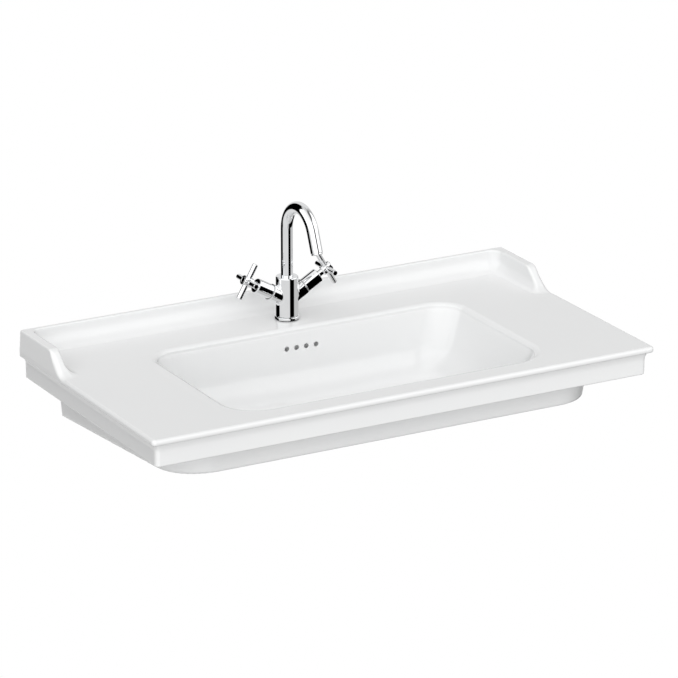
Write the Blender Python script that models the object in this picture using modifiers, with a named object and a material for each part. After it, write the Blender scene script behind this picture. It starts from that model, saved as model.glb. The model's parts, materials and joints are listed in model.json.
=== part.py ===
"""Wall-hung ceramic washbasin with a deck-mounted two-handle mixer and a click waste.

Frame: metres, +Z up.  The origin is the middle of the wall plane at deck height, +Y points into
the wall and +X runs along the basin, so the user stands on the -Y side.
"""
import bpy
import bmesh
from math import cos, degrees, pi, radians, sin, sqrt, tan
from mathutils import Matrix, Vector

# ---------------------------------------------------------------- driving dimensions (metres)
GAP = 0.0003                    # play left between touching pieces
FINE, MEDIUM, COARSE = 24, 16, 12       # facets round a turned piece
CORNER_STEPS = 7                # facets in each plan corner of the bowl and skirt

BASIN_WIDTH = 1.000
BASIN_DEPTH = 0.530
DECK_THICK = 0.014
WALL_THICK = 0.012              # thickness of the cast ceramic
LIP_R = 0.0058                  # the deck's rounded lip
LIP_BOTTOM = -0.0122
PLAN_CORNER = 0.009
APRON_INSET = 0.011             # apron stands back from the lip
APRON_COVE_END = -0.027         # the apron's hollow top flattens out here
APRON_BOTTOM = -0.054

UPSTAND_TOP = 0.038
UPSTAND_THICK = 0.009           # back upstand, at its top
UPSTAND_FOOT = 0.038            # how far its cove reaches onto the deck
WING_THICK = 0.020
WING_FOOT = 0.038
WING_LENGTH = 0.122             # level part of each side return
WING_END = 0.174                # where the side return has died into the deck
WING_SLOPE = radians(41)        # fall of its front end

SKIRT_HALF = 0.428              # half width just under the apron
SKIRT_FRONT = 0.475
SKIRT_DRAFT_SIDE = 0.094        # inward lean, metres per metre of height
SKIRT_DRAFT_FRONT = 0.140
SKIRT_CORNER = 0.080
SKIRT_BOTTOM_BACK = -0.1395
SKIRT_BOTTOM_FRONT = -0.104

BOWL_HALF = 0.311
BOWL_BACK = 0.128
BOWL_FRONT = 0.480
BOWL_CORNER = 0.062
BOWL_RIM_R = 0.009
BOWL_DEPTH = 0.121
# lean from the vertical, and radius of the sweep into the floor, for each wall of the bowl
WALL_SIDE = (radians(19), 0.052)
WALL_BACK = (radians(4), 0.048)
WALL_FRONT = (radians(20), 0.094)

DRAIN_Y = -0.270
DRAIN_Z = -0.126                # top of the seat around the waste bore
DRAIN_SEAT_R = 0.034
DRAIN_BORE_R = 0.023
DRAIN_BOSS_R = 0.037
DRAIN_BOSS_Z = -0.150

OVERFLOW_Z = -0.038
OVERFLOW_HOLE_R = 0.0045
OVERFLOW_PITCH = 0.020

WALL_HOLE_X = 0.140             # the two wall bolts stand 280 mm apart
WALL_HOLE_Z = -0.085
WALL_HOLE_R = 0.0075

TAP_Y = -0.075
TAP_HOLE_R = 0.0175
COLUMN_R = 0.0207
COLUMN_TOP = 0.0815
BASE_RING_R = 0.023
BASE_RING_TOP = 0.0068

ARM_RISE = radians(30)          # the two valve arms slope up from the column
ARM_AXIS_Z = 0.0365
ARM_R = 0.0150
ARM_END = 0.0393                # distances from here on run along the arm's own axis
BONNET_R = 0.0137
BONNET_START = 0.0408
BONNET_END = 0.0736
HUB_CENTRE = 0.0935
HUB_R = 0.0092
HUB_HALF = 0.0100
HANDLE_BAR_R = 0.0050
HANDLE_REACH = 0.0345           # hub centre to bar tip
VALVE_R = 0.0087
VALVE_START = 0.0223
VALVE_END = 0.0660
SPINDLE_R = 0.0037

SPOUT_R = 0.0110
SPOUT_BORE_R = 0.0093
SPOUT_BEND_R = 0.0513
SPOUT_BEND_Z = 0.1716
SPOUT_TILT = radians(22.6)      # the outlet leans this far out from straight down
SPOUT_LEG = 0.0384
SPOUT_FOOT_Z = 0.0600

STUD = Vector((0.0, TAP_Y - 0.0105))
STUD_R = 0.0040

PLUG_R = 0.0265
PLUG_LIFT = 0.0028              # plug's underside above the waste flange's when shut


# ---------------------------------------------------------------- scene and materials
for old in list(bpy.data.objects):
    bpy.data.objects.remove(old, do_unlink=True)

parts = bpy.data.collections.new("washbasin")
cutters = bpy.data.collections.new("washbasin_cutters")
for group in (parts, cutters):
    bpy.context.scene.collection.children.link(group)


def material(name, colour, roughness, metallic=0.0):
    mat = bpy.data.materials.new(name)
    mat.use_nodes = True
    shader = mat.node_tree.nodes["Principled BSDF"]
    shader.inputs["Base Color"].default_value = (*colour, 1.0)
    shader.inputs["Roughness"].default_value = roughness
    shader.inputs["Metallic"].default_value = metallic
    return mat


CERAMIC = material("white_glazed_ceramic", (0.86, 0.87, 0.87), 0.08)
CHROME = material("polished_chrome", (0.80, 0.81, 0.82), 0.05, 1.0)
BRASS = material("turned_brass", (0.72, 0.53, 0.25), 0.30, 1.0)
STEEL = material("stainless_steel", (0.62, 0.62, 0.61), 0.30, 1.0)
RUBBER = material("black_rubber", (0.02, 0.02, 0.02), 0.60)
PLASTIC = material("grey_plastic", (0.35, 0.36, 0.38), 0.45)
ALUMINA = material("alumina_disc", (0.88, 0.86, 0.82), 0.25)


# ---------------------------------------------------------------- modelling helpers
def place(name, mesh, mat, parent=None, location=(0, 0, 0), group=None):
    obj = bpy.data.objects.new(name, mesh)
    (group or parts).objects.link(obj)
    if mat is not None and not mesh.materials:
        mesh.materials.append(mat)
    obj.parent = parent
    obj.location = location
    if group is cutters:
        obj.hide_render = True
        obj.display_type = "WIRE"
    return obj


def empty(name, location, rotation=(0, 0, 0)):
    obj = bpy.data.objects.new(name, None)
    parts.objects.link(obj)
    obj.location = location
    obj.rotation_euler = rotation
    return obj


def turned(name, profile, mat, parent=None, location=(0, 0, 0), steps=MEDIUM, ring=False, group=None):
    """Turn a profile of (radius, height) points, listed down its outer side, about local Z."""
    mesh = bpy.data.meshes.new(name)
    points = [(radius, 0.0, height) for radius, height in profile]
    edges = [(i, i + 1) for i in range(len(points) - 1)]
    if ring:
        edges.append((len(points) - 1, 0))
    mesh.from_pydata(points, edges, [])
    obj = place(name, mesh, mat, parent, location, group)
    screw = obj.modifiers.new("turn", "SCREW")
    screw.steps = screw.render_steps = steps
    screw.use_merge_vertices = True
    screw.merge_threshold = 0.00001
    screw.use_smooth_shade = True
    return obj


def rod(name, radius, low, high, mat, parent=None, location=(0, 0, 0), steps=MEDIUM, edge=0.0, group=None):
    """A solid cylinder along local Z, its two ends chamfered by edge."""
    if edge:
        profile = [(0, high), (radius - edge, high), (radius, high - edge),
                   (radius, low + edge), (radius - edge, low), (0, low)]
    else:
        profile = [(0, high), (radius, high), (radius, low), (0, low)]
    return turned(name, profile, mat, parent, location, steps, group=group)


def tube(name, inner, outer, low, high, mat, parent=None, location=(0, 0, 0), steps=MEDIUM, edge=0.0):
    """A ring or sleeve along local Z, its outer edges chamfered by edge."""
    if edge:
        profile = [(inner, high), (outer - edge, high), (outer, high - edge),
                   (outer, low + edge), (outer - edge, low), (inner, low)]
    else:
        profile = [(inner, high), (outer, high), (outer, low), (inner, low)]
    return turned(name, profile, mat, parent, location, steps, ring=True)


def o_ring(name, centre_r, wire_r, height, mat, parent=None, location=(0, 0, 0)):
    """A round-section sealing ring."""
    sides = 6
    loop = [(centre_r + wire_r * sin(2 * pi * i / sides), height + wire_r * cos(2 * pi * i / sides))
            for i in range(sides)]
    return turned(name, loop, mat, parent, location, MEDIUM, ring=True)


def box(name, low, high, mat=None, group=None, bevel=0.0, parent=None):
    """A block between two corners, with its edges rounded by bevel."""
    work = bmesh.new()
    bmesh.ops.create_cube(work, size=1.0)
    low, high = Vector(low), Vector(high)
    size, centre = high - low, (high + low) / 2
    bmesh.ops.transform(work, matrix=Matrix.Diagonal((*size, 1.0)), verts=work.verts)
    mesh = bpy.data.meshes.new(name)
    work.to_mesh(mesh)
    work.free()
    obj = place(name, mesh, mat, parent, centre, group)
    if bevel:
        rounding = obj.modifiers.new("rounded_edges", "BEVEL")
        rounding.width = bevel
        rounding.segments = 2
    return obj


def boolean(target, other, operation):
    step = target.modifiers.new(operation.lower(), "BOOLEAN")
    step.operation = operation
    step.object = other
    step.solver = "EXACT"
    return target


def cut(target, cutter):
    return boolean(target, cutter, "DIFFERENCE")


def join(target, addition):
    return boolean(target, addition, "UNION")


def prism(name, outline, axis, start, end, group=None):
    """Extrude an outline of (first, second) points along X ("X") or Y ("Y") from start to end."""
    work = bmesh.new()
    if axis == "X":
        ring = [work.verts.new((start, a, b)) for a, b in outline]
        along = Vector((end - start, 0, 0))
    else:
        ring = [work.verts.new((a, start, b)) for a, b in outline]
        along = Vector((0, end - start, 0))
    face = work.faces.new(ring)
    grown = bmesh.ops.extrude_face_region(work, geom=[face])["geom"]
    moved = [item for item in grown if isinstance(item, bmesh.types.BMVert)]
    bmesh.ops.translate(work, vec=along, verts=moved)
    bmesh.ops.recalc_face_normals(work, faces=work.faces)
    mesh = bpy.data.meshes.new(name)
    work.to_mesh(mesh)
    work.free()
    return place(name, mesh, CERAMIC, group=group)


def rounded_loop(half, front, back, front_r, back_r, z, steps):
    """A rounded rectangle, -half..half wide, from y = -front to y = -back, with equal corner counts."""
    corners = [(half - back_r, -back - back_r, back_r, 0), (-half + back_r, -back - back_r, back_r, 90),
               (-half + front_r, -front + front_r, front_r, 180),
               (half - front_r, -front + front_r, front_r, 270)]
    loop = []
    for cx, cy, radius, start in corners:
        for step in range(steps + 1):
            angle = radians(start + 90 * step / steps)
            loop.append((cx + radius * cos(angle), cy + radius * sin(angle), z))
    return loop


def loft(name, sections, group=None, trim=None):
    """Skin closed loops that have the same number of points, and cap both ends.

    trim is a plane (point, normal); what lies on the normal's side is cut away and the cut is closed.
    """
    work = bmesh.new()
    rings = [[work.verts.new(point) for point in loop] for loop in sections]
    count = len(rings[0])
    for upper, lower in zip(rings, rings[1:]):
        for i in range(count):
            j = (i + 1) % count
            work.faces.new((upper[i], lower[i], lower[j], upper[j]))
    work.faces.new(rings[0])
    work.faces.new(list(reversed(rings[-1])))
    bmesh.ops.remove_doubles(work, verts=work.verts, dist=0.000001)
    if trim:
        plane = bmesh.ops.bisect_plane(work, geom=work.verts[:] + work.edges[:] + work.faces[:],
                                       plane_co=trim[0], plane_no=trim[1], clear_outer=True)
        edges = [item for item in plane["geom_cut"] if isinstance(item, bmesh.types.BMEdge)]
        bmesh.ops.contextual_create(work, geom=edges)
    bmesh.ops.recalc_face_normals(work, faces=work.faces)
    mesh = bpy.data.meshes.new(name)
    work.to_mesh(mesh)
    work.free()
    return place(name, mesh, CERAMIC, group=group)


def curve_solid(name, points, radius, sides_level, mat, parent=None, location=(0, 0, 0), group=None):
    """A round bar along a line of points, as a closed mesh."""
    curve = bpy.data.curves.new(name, "CURVE")
    curve.dimensions = "3D"
    curve.bevel_depth = radius
    curve.bevel_resolution = sides_level
    curve.use_fill_caps = True
    line = curve.splines.new("POLY")
    line.points.add(len(points) - 1)
    for point, position in zip(line.points, points):
        point.co = (*position, 1.0)
    return curve_to_mesh(name, curve, mat, parent, location, group)


def curve_to_mesh(name, curve, mat, parent, location, group):
    source = bpy.data.objects.new(name + "_curve", curve)
    parts.objects.link(source)
    bpy.context.view_layer.update()
    evaluated = source.evaluated_get(bpy.context.evaluated_depsgraph_get())
    mesh = bpy.data.meshes.new_from_object(evaluated)
    work = bmesh.new()
    work.from_mesh(mesh)
    bmesh.ops.remove_doubles(work, verts=work.verts, dist=0.000001)
    bmesh.ops.recalc_face_normals(work, faces=work.faces)
    work.to_mesh(mesh)
    work.free()
    mesh.name = name
    bpy.data.objects.remove(source, do_unlink=True)
    mesh.shade_smooth()
    mesh.set_sharp_from_angle(angle=radians(35))
    return place(name, mesh, mat, parent, location, group)


# ---------------------------------------------------------------- the ceramic basin
def wall_inset(depth, wall):
    """How far the bowl wall has come in from the rim line at a depth: round rim, wall, floor sweep."""
    lean, sweep_r = wall
    rim_end = BOWL_RIM_R * (1 - sin(lean))
    if depth <= rim_end:
        return sqrt(max(0.0, BOWL_RIM_R ** 2 - (BOWL_RIM_R - depth) ** 2))
    wall_start = BOWL_RIM_R * cos(lean)
    sweep_start = BOWL_DEPTH - sweep_r + sweep_r * sin(lean)
    if depth <= sweep_start:
        return wall_start + (depth - rim_end) * tan(lean)
    centre = wall_start + (sweep_start - rim_end) * tan(lean) + sweep_r * cos(lean)
    return centre - sqrt(max(0.0, sweep_r ** 2 - (depth - BOWL_DEPTH + sweep_r) ** 2))


def wall_normal(depth, wall):
    """Outward and downward parts of the casting's thickness direction at a depth."""
    lean, sweep_r = wall
    down = max(sin(lean), 1 - (BOWL_DEPTH - depth) / sweep_r)
    return sqrt(1 - down ** 2), down


def bowl_loop(depth, thick, z=None):
    """One level of the bowl, or of the casting's outer face when thick is its wall thickness."""
    grow = {wall: thick * wall_normal(depth, wall)[0] for wall in (WALL_SIDE, WALL_FRONT, WALL_BACK)}
    half = BOWL_HALF - wall_inset(depth, WALL_SIDE) + grow[WALL_SIDE]
    front = BOWL_FRONT - wall_inset(depth, WALL_FRONT) + grow[WALL_FRONT]
    back = BOWL_BACK + wall_inset(depth, WALL_BACK) - grow[WALL_BACK]
    corner = BOWL_CORNER - wall_inset(min(depth, BOWL_RIM_R), WALL_SIDE) + 0.2 * depth + grow[WALL_SIDE]
    corner = min(corner, 0.46 * (front - back))
    drop = thick * wall_normal(depth, WALL_SIDE)[1]
    return rounded_loop(half, front, back, corner, corner, -depth - drop if z is None else z, CORNER_STEPS)


def drain_loop(radius, z):
    return rounded_loop(radius, -DRAIN_Y + radius, -DRAIN_Y - radius, radius, radius, z, CORNER_STEPS)


def bowl_depths():
    """Levels for the lofts: the round rim, the wall, then the sweep into the floor."""
    rim = [BOWL_RIM_R * (1 - cos(radians(a))) for a in (0, 30, 60, 90)]
    sweep = [BOWL_DEPTH - BOWL_DEPTH * 0.55 * (1 - sin(radians(a))) for a in (0, 18, 34, 50, 68, 90)]
    return rim + [0.034] + sweep


def bowl_cavity():
    rings = [bowl_loop(0.0, 0.0, 0.002)]
    rings += [bowl_loop(depth, 0.0) for depth in bowl_depths()]
    rings.append(drain_loop(DRAIN_SEAT_R, DRAIN_Z))
    return loft("bowl_cavity", rings, cutters)


def bowl_casting():
    """The outer face of the bowl, one wall thickness outside the cavity."""
    top = bowl_loop(BOWL_RIM_R, WALL_THICK, -BOWL_RIM_R - 0.0005)
    rings = [top] + [bowl_loop(depth, WALL_THICK) for depth in bowl_depths()[4:]]
    return loft("bowl_casting", rings, cutters)


def rim_profile():
    """(height, inset) down the outside: rounded lip, hollow top of the apron, its face and foot."""
    diagonal = LIP_R * (1 - cos(radians(45)))
    lip = [(0.0, LIP_R), (-diagonal, diagonal), (-LIP_R, 0.0), (LIP_BOTTOM + diagonal, diagonal),
           (LIP_BOTTOM, LIP_R)]
    cove_start = LIP_BOTTOM - 0.0006
    cove = []
    for share in (0, 1 / 3, 2 / 3, 1):
        inset = APRON_INSET - (APRON_INSET - LIP_R) * (1 - share) ** 2
        cove.append((cove_start + (APRON_COVE_END - cove_start) * share, inset))
    foot = [(APRON_BOTTOM + 0.0035, APRON_INSET + 0.0008), (APRON_BOTTOM, APRON_INSET + 0.0040)]
    return lip + cove + foot


def rim_block():
    """Deck, rounded lip and apron."""
    steps = 3
    rings = []
    for z, inset in rim_profile():
        half, front = BASIN_WIDTH / 2 - inset, BASIN_DEPTH - inset
        rings.append(rounded_loop(half, front, 0.0, PLAN_CORNER, 0.0002, z, steps))
    return loft("basin", rings)


def skirt_loop(z, inset, back, corner):
    fall = APRON_BOTTOM - z
    half = SKIRT_HALF - SKIRT_DRAFT_SIDE * fall - inset
    front = SKIRT_FRONT - SKIRT_DRAFT_FRONT * fall - inset
    return rounded_loop(half, front, back, corner, 0.0100 if inset else 0.0002, z, CORNER_STEPS)


def skirt_shell():
    slope = (SKIRT_BOTTOM_FRONT - SKIRT_BOTTOM_BACK) / (SKIRT_FRONT - 0.007)
    bottom = (Vector((0, 0, SKIRT_BOTTOM_BACK)), Vector((0, -slope, -1)).normalized())
    outer = loft("skirt_outer", [skirt_loop(z, 0.0, 0.0, SKIRT_CORNER) for z in (-0.0128, -0.170)],
                 cutters, bottom)
    inner = loft("skirt_inner", [skirt_loop(z, WALL_THICK, 0.014, SKIRT_CORNER - WALL_THICK)
                                 for z in (-DECK_THICK + 0.0006, -0.180)], cutters)
    return cut(outer, inner)


def arc(cx, cy, radius, start, end, steps):
    """Points on an arc, angles in degrees."""
    return [(cx + radius * cos(radians(start + (end - start) * i / steps)),
             cy + radius * sin(radians(start + (end - start) * i / steps))) for i in range(steps + 1)]


def back_upstand():
    """Upstand along the wall: a level top and a cove that runs out onto the deck."""
    cove = UPSTAND_FOOT - UPSTAND_THICK
    outline = [(0.0, -0.006), (0.0, UPSTAND_TOP)]
    outline += arc(-UPSTAND_THICK + 0.003, UPSTAND_TOP - 0.003, 0.003, 90, 180, 3)
    outline += arc(-UPSTAND_FOOT, cove, cove, 0, -90, 6)
    outline.append((-UPSTAND_FOOT, -0.006))
    return prism("upstand_back", outline, "X", -BASIN_WIDTH / 2 + 0.0005, BASIN_WIDTH / 2 - 0.0005, cutters)


def wing(sign, name):
    """Side return of the upstand: a coved wall whose front end sweeps down to the deck."""
    edge = BASIN_WIDTH / 2
    cove = WING_FOOT - WING_THICK
    across = [(edge, -0.006), (edge, 0.0), (edge - 0.0028, UPSTAND_TOP - 0.003)]
    across += arc(edge - 0.0062, UPSTAND_TOP - 0.003, 0.003, 30, 90, 2)
    across += arc(edge - WING_THICK + 0.003, UPSTAND_TOP - 0.003, 0.003, 90, 180, 3)
    across += arc(edge - WING_FOOT, cove, cove, 0, -90, 5)
    across.append((edge - WING_FOOT, -0.006))
    across = [(sign * x, z) for x, z in across]
    top_r, foot_r, slope = 0.010, 0.014, pi / 2 - WING_SLOPE
    along = [(0.0, -0.007), (0.0, UPSTAND_TOP + 0.0002)]
    along += arc(-WING_LENGTH, UPSTAND_TOP + 0.0002 - top_r, top_r, 90, 180 - degrees(slope), 3)
    along += arc(-WING_END, foot_r, foot_r, -degrees(slope), -90, 3)
    along.append((-WING_END, -0.007))
    solid = prism(name, across, "Y", 0.0, -WING_END - 0.004, cutters)
    side = prism(name + "_side", along, "X", sign * (edge + 0.003), sign * (edge - 0.060), cutters)
    return boolean(solid, side, "INTERSECT")


def overflow_duct(basin):
    """Four holes under the tap open into a duct inside the casting that ends in the waste bore."""
    cut(basin, box("overflow_duct", (-0.040, -0.128, -0.1444), (0.040, -0.110, -0.028), None, cutters))
    cut(basin, box("overflow_run", (-0.012, -0.262, -0.1436), (0.012, -0.116, -0.1376), None, cutters))
    for index in range(4):
        x = (index - 1.5) * OVERFLOW_PITCH
        hole = rod(f"overflow_hole_{index + 1}", OVERFLOW_HOLE_R, -0.012, 0.012, None, steps=COARSE,
                   group=cutters)
        hole.rotation_euler = (radians(90), 0, 0)
        hole.location = (x, -0.137, OVERFLOW_Z)
        cut(basin, hole)


def make_basin():
    basin = rim_block()
    tray = box("under_deck", (-0.477, -0.507, -0.070), (0.477, -0.0140, -DECK_THICK), None, cutters)
    cut(basin, tray)
    join(basin, skirt_shell())
    join(basin, bowl_casting())
    join(basin, rod("drain_boss", DRAIN_BOSS_R, DRAIN_BOSS_Z, -0.128, None, location=(0, DRAIN_Y, 0),
                    steps=FINE, group=cutters))
    join(basin, box("overflow_case", (-0.048, -0.140, -0.150), (0.048, -0.102, -0.0130), None, cutters, 0.004))
    join(basin, box("overflow_run_case", (-0.020, -0.262, -0.1484), (0.020, -0.119, -0.128), None, cutters))
    join(basin, back_upstand())
    join(basin, wing(-1, "wing_left"))
    join(basin, wing(1, "wing_right"))
    overflow_duct(basin)
    cut(basin, rod("tap_hole", TAP_HOLE_R, -0.030, 0.010, None, location=(0, TAP_Y, 0), steps=FINE,
                   group=cutters))
    for sign, name in ((-1, "wall_hole_left"), (1, "wall_hole_right")):
        hole = rod(name, WALL_HOLE_R, -0.020, 0.020, None, steps=COARSE, group=cutters)
        hole.rotation_euler = (radians(90), 0, 0)
        hole.location = (sign * WALL_HOLE_X, -0.010, WALL_HOLE_Z)
        cut(basin, hole)
    cut(basin, bowl_cavity())
    cut(basin, rod("waste_bore", DRAIN_BORE_R, DRAIN_BOSS_Z - 0.010, DRAIN_Z + 0.010, None,
                   location=(0, DRAIN_Y, 0), steps=FINE, group=cutters))
    return basin


# ---------------------------------------------------------------- the mixer's body and fixing
def valve_axis(name, sign):
    """An empty whose local Z runs out along one valve arm."""
    return empty(name, (0, TAP_Y, ARM_AXIS_Z), (0, sign * (pi / 2 - ARM_RISE), 0))


def make_tap_body(axes):
    column = [(0, COLUMN_TOP), (COLUMN_R - 0.0030, COLUMN_TOP), (COLUMN_R - 0.0009, COLUMN_TOP - 0.0009),
              (COLUMN_R, COLUMN_TOP - 0.0030), (COLUMN_R, BASE_RING_TOP + GAP), (0, BASE_RING_TOP + GAP)]
    body = turned("tap_body", column, CHROME, location=(0, TAP_Y, 0), steps=FINE)
    for axis in axes:
        side = axis.name
        arm = rod(side + "_arm", ARM_R, 0.002, ARM_END, None, axis, steps=FINE, group=cutters)
        join(body, arm)
    cut(body, rod("spout_socket", SPOUT_R + GAP, 0.0380, 0.0900, None, location=(0, TAP_Y, 0),
                  steps=FINE, group=cutters))
    for axis in axes:
        side = axis.name
        seat = [(0, 0.045), (VALVE_R + GAP, 0.045), (VALVE_R + GAP, VALVE_START - GAP),
                (0.0050, VALVE_START - GAP), (0.0050, 0.0), (0, 0.0)]
        cut(body, turned(side + "_bore", seat, None, axis, steps=MEDIUM, group=cutters))
    for sign, name in ((-1, "hot_inlet"), (1, "cold_inlet")):
        cut(body, rod(name, 0.0045, 0.0, 0.0330, None, location=(sign * 0.0125, TAP_Y + 0.004, 0),
                      steps=COARSE, group=cutters))
    cut(body, rod("stud_socket", STUD_R + GAP, 0.0, 0.0220, None, location=(*STUD, 0), steps=COARSE,
                  group=cutters))
    return body


def horseshoe(name, low, high, mat):
    """Open ring that slips round the stud and the supply tails under the deck."""
    plate = tube(name, 0.0155, 0.0235, low, high, mat, location=(0, TAP_Y, 0), steps=FINE)
    web = rod(name + "_web", 0.0080, low, high, None, location=(*STUD, 0), steps=COARSE, group=cutters)
    join(plate, web)
    mouth = box(name + "_mouth", (-0.009, TAP_Y + 0.004, low - 0.002), (0.009, TAP_Y + 0.030, high + 0.002),
                None, cutters)
    cut(plate, mouth)
    cut(plate, rod(name + "_hole", STUD_R + GAP, low - 0.002, high + 0.002, None, location=(*STUD, 0),
                   steps=COARSE, group=cutters))
    return plate


def hex_nut(name, flats, hole_r, low, high, mat, location, steps=MEDIUM):
    """Six-sided nut along local Z."""
    work = bmesh.new()
    corner = flats / sqrt(3)
    bmesh.ops.create_cone(work, cap_ends=True, segments=6, radius1=corner, radius2=corner, depth=high - low)
    mesh = bpy.data.meshes.new(name)
    work.to_mesh(mesh)
    work.free()
    middle = (low + high) / 2
    nut = place(name, mesh, mat, None, (location[0], location[1], middle))
    bevel = nut.modifiers.new("rounded_edges", "BEVEL")
    bevel.width = 0.0006
    bevel.segments = 1
    cut(nut, rod(name + "_hole", hole_r, low - 0.005, high + 0.005, None, location=(*location, 0),
                 steps=steps, group=cutters))
    return nut


def make_tap_fixing():
    centre = (0, TAP_Y, 0)
    tube("tap_gasket", 0.0170, COLUMN_R + 0.0010, GAP, 0.0015, RUBBER, location=centre, steps=FINE)
    tube("tap_base_ring", 0.0165, BASE_RING_R, 0.0018, BASE_RING_TOP, CHROME, location=centre, steps=FINE,
         edge=0.0010)
    top, bottom = 0.0217, -0.062
    rod("tap_stud", STUD_R, bottom, top, STEEL, location=(*STUD, 0), steps=COARSE, edge=0.0006)
    under = -DECK_THICK - GAP
    horseshoe("horseshoe_gasket", under - 0.0030, under, RUBBER)
    horseshoe("horseshoe_plate", under - 0.0060 - GAP, under - 0.0030 - GAP, STEEL)
    nut_top = under - 0.0060 - 2 * GAP
    hex_nut("tap_fixing_nut", 0.0130, STUD_R + GAP, nut_top - 0.0075, nut_top, BRASS, STUD)


# ---------------------------------------------------------------- valves and cross handles
def make_valve(side, axis):
    """Headwork of one arm, from the rubber seat in the body out to the bonnet."""
    tube(side + "_valve_seat", 0.0050, VALVE_R - 0.0005, VALVE_START, VALVE_START + 0.0020, RUBBER, axis)
    disc = VALVE_START + 0.0020 + GAP
    shell = [(0.0076, disc), (0.0076, 0.0345), (SPINDLE_R + GAP, 0.0345), (SPINDLE_R + GAP, VALVE_END),
             (0.0062, VALVE_END), (0.0062, 0.0570), (VALVE_R, 0.0570), (VALVE_R, disc)]
    turned(side + "_valve_body", shell, BRASS, axis, steps=MEDIUM, ring=True)
    fixed = rod(side + "_valve_fixed_disc", 0.0072, disc, disc + 0.0030, ALUMINA, axis, steps=MEDIUM)
    turning = rod(side + "_valve_turning_disc", 0.0072, disc + 0.0030 + GAP, disc + 0.0060, ALUMINA, axis)
    for plate in (fixed, turning):
        port = box(plate.name + "_port", (-0.0038, 0.0012, disc - 0.002), (0.0038, 0.0042, disc + 0.010),
                   None, cutters, parent=axis)
        cut(plate, port)
    rod(side + "_spindle", SPINDLE_R, disc + 0.0060 + GAP, 0.0815, BRASS, axis, steps=MEDIUM, edge=0.0004)
    o_ring(side + "_spindle_seal", 0.0080, 0.0012, 0.0590, RUBBER, axis)
    tube(side + "_joint_ring", VALVE_R + GAP, ARM_R, ARM_END + GAP, BONNET_START - GAP, CHROME, axis,
         steps=FINE)
    bonnet = [(0.0100, BONNET_START), (0.0100, 0.0705), (0.0046, 0.0705), (0.0046, BONNET_END),
              (BONNET_R - 0.0018, BONNET_END), (BONNET_R - 0.0005, BONNET_END - 0.0005),
              (BONNET_R, BONNET_END - 0.0018), (BONNET_R, BONNET_START)]
    turned(side + "_bonnet", bonnet, CHROME, axis, steps=FINE, ring=True)


def make_handle(side, axis):
    """Cross handle: a hub with four bars pushed into its sockets, and a cap over its screw."""
    start, end = HUB_CENTRE - HUB_HALF, HUB_CENTRE + HUB_HALF
    neck_r, cap_r, edge = 0.0058, 0.0055, 0.0012
    neck_end, socket_end = BONNET_END + 0.0006, 0.0820
    profile = [(0, end - 0.0030), (cap_r, end - 0.0030), (cap_r, end), (HUB_R - edge, end), (HUB_R, end - edge),
               (HUB_R, start + edge), (HUB_R - edge, start), (neck_r, start - 0.0006), (neck_r, neck_end),
               (SPINDLE_R + GAP, neck_end), (SPINDLE_R + GAP, socket_end), (0, socket_end)]
    hub = turned(side + "_handle_hub", profile, CHROME, axis, steps=FINE)
    for index in range(4):
        turn = Matrix.Rotation(index * pi / 2, 4, "Z") @ Matrix.Rotation(pi / 2, 4, "Y")
        spot = Matrix.Translation((0, 0, HUB_CENTRE)) @ turn
        socket = rod(f"{side}_handle_socket_{index + 1}", HANDLE_BAR_R + GAP, 0.0060 - GAP, 0.0200, None,
                     axis, steps=COARSE, group=cutters)
        socket.matrix_local = spot
        cut(hub, socket)
        bar = rod(f"{side}_handle_bar_{index + 1}", HANDLE_BAR_R, 0.0060, HANDLE_REACH, CHROME, axis,
                  steps=MEDIUM, edge=0.0010)
        bar.matrix_local = spot
    rod(side + "_handle_cap", cap_r - GAP, end - 0.0030 + GAP, end - 0.0002, CHROME, axis, edge=0.0005)


# ---------------------------------------------------------------- swivel spout
def spout_line(foot, leg, steps):
    """Centre line: up from the foot, over the bend and down the leaning leg, in the plane x = 0."""
    sweep = pi - SPOUT_TILT
    line = [(0.0, 0.0, foot)]
    for i in range(steps + 1):
        angle = sweep * i / steps
        line.append((0.0, -SPOUT_BEND_R * (1 - cos(angle)), SPOUT_BEND_Z + SPOUT_BEND_R * sin(angle)))
    last = Vector(line[-1])
    line.append(tuple(last + leg * outlet_direction()))
    return line


def outlet_direction():
    return Vector((0.0, -sin(SPOUT_TILT), -cos(SPOUT_TILT)))


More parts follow.
